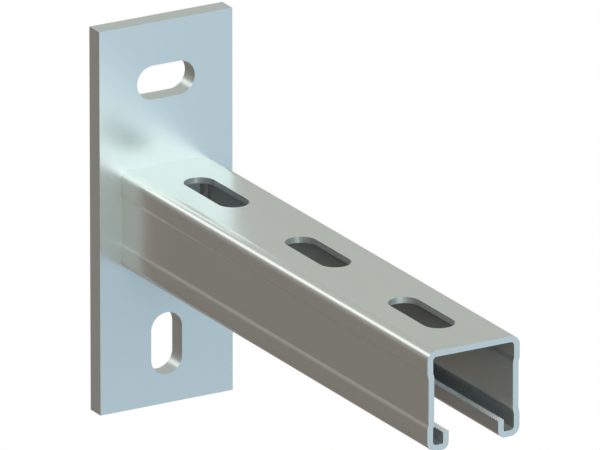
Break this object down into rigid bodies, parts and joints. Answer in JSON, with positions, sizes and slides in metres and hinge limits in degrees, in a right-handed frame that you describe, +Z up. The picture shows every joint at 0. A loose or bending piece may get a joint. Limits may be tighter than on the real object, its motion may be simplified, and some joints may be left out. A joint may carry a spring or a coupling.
{
  "type": "cantilever arm",
  "caption": "Wall-mounted cantilever arm: a slotted, open-bottomed strut channel welded square to a flat back plate with one level and one upright fixing slot.",
  "frame": {"origin": "middle of the back plate's wall face", "axes": "+X points out of the wall along the arm, +Z is up, +Y completes the right hand and lies along the wall"},
  "size_m": [0.248, 0.06, 0.16],
  "materials": {
    "plate_steel": "zinc-plated hot-rolled flat, satin",
    "channel_steel": "zinc-plated roll-formed strip, satin with a fine rolled grain",
    "weld_metal": "rippled weld bead under the same plating, duller"
  },
  "bodies": {
    "root": {"back_plate": "plate_steel", "channel": "channel_steel", "root_weld": "weld_metal"}
  },
  "joints": []
}
